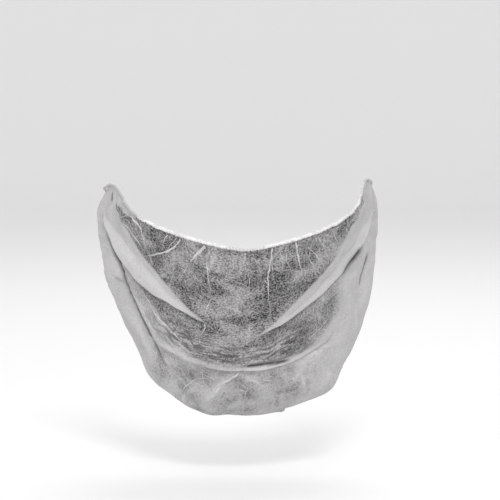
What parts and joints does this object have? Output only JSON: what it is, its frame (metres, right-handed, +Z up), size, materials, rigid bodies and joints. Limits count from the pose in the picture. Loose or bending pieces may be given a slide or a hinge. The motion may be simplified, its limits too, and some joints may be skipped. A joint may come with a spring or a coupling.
{
  "type": "disposable beard net",
  "caption": "Loose pouch of thin white nonwoven cloth that covers a beard, worn from ear to ear under the nose, with a gathered elastic hem round its opening.",
  "frame": {"origin": "middle of the hem's front, where it lies on the upper lip under the nose", "axes": "+X to the right as seen from the front, +Y from the lip towards the nape, +Z up"},
  "size_m": [0.2019, 0.0999, 0.1641],
  "materials": {
    "spunbond": "thin white spunbond polypropylene, matt and translucent",
    "hem": "the same cloth, gathered tightly over a thin white elastic"
  },
  "bodies": {
    "root": {"pouch": "spunbond", "elastic_hem": "hem"}
  },
  "joints": []
}
